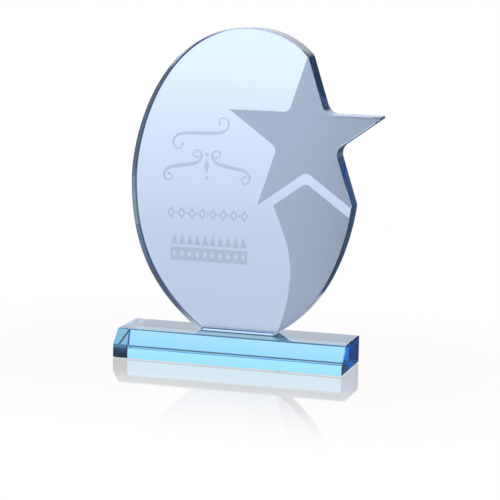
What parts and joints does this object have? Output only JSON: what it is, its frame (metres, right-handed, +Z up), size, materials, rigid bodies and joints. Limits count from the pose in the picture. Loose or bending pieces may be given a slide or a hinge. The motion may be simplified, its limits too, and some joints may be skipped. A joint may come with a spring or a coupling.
{
  "type": "crystal award",
  "caption": "Free-standing glass award: an oval plaque cut to a star's outline on one side, bonded to a bevelled glass base on soft pads.",
  "frame": {"origin": "centre of the bounding box in plan, at table height under the pads", "axes": "+Z up; the front of the award faces -Y; +X is to the right as the award is read from the front, where the star's arm stands out"},
  "size_m": [0.1952, 0.0514, 0.2492],
  "materials": {
    "base_glass": "polished, sky-blue tint, ground edges",
    "plaque_glass": "polished, pale blue tint, with a sandblasted star and swoosh on the front",
    "bond_resin": "clear cured resin",
    "pad_rubber": "soft, translucent, satin"
  },
  "bodies": {
    "root": {"base_block": "base_glass", "glass_plaque": "plaque_glass", "bond_film": "bond_resin", "pad_front_left": "pad_rubber", "pad_front_right": "pad_rubber", "pad_rear_left": "pad_rubber", "pad_rear_right": "pad_rubber"}
  },
  "joints": []
}
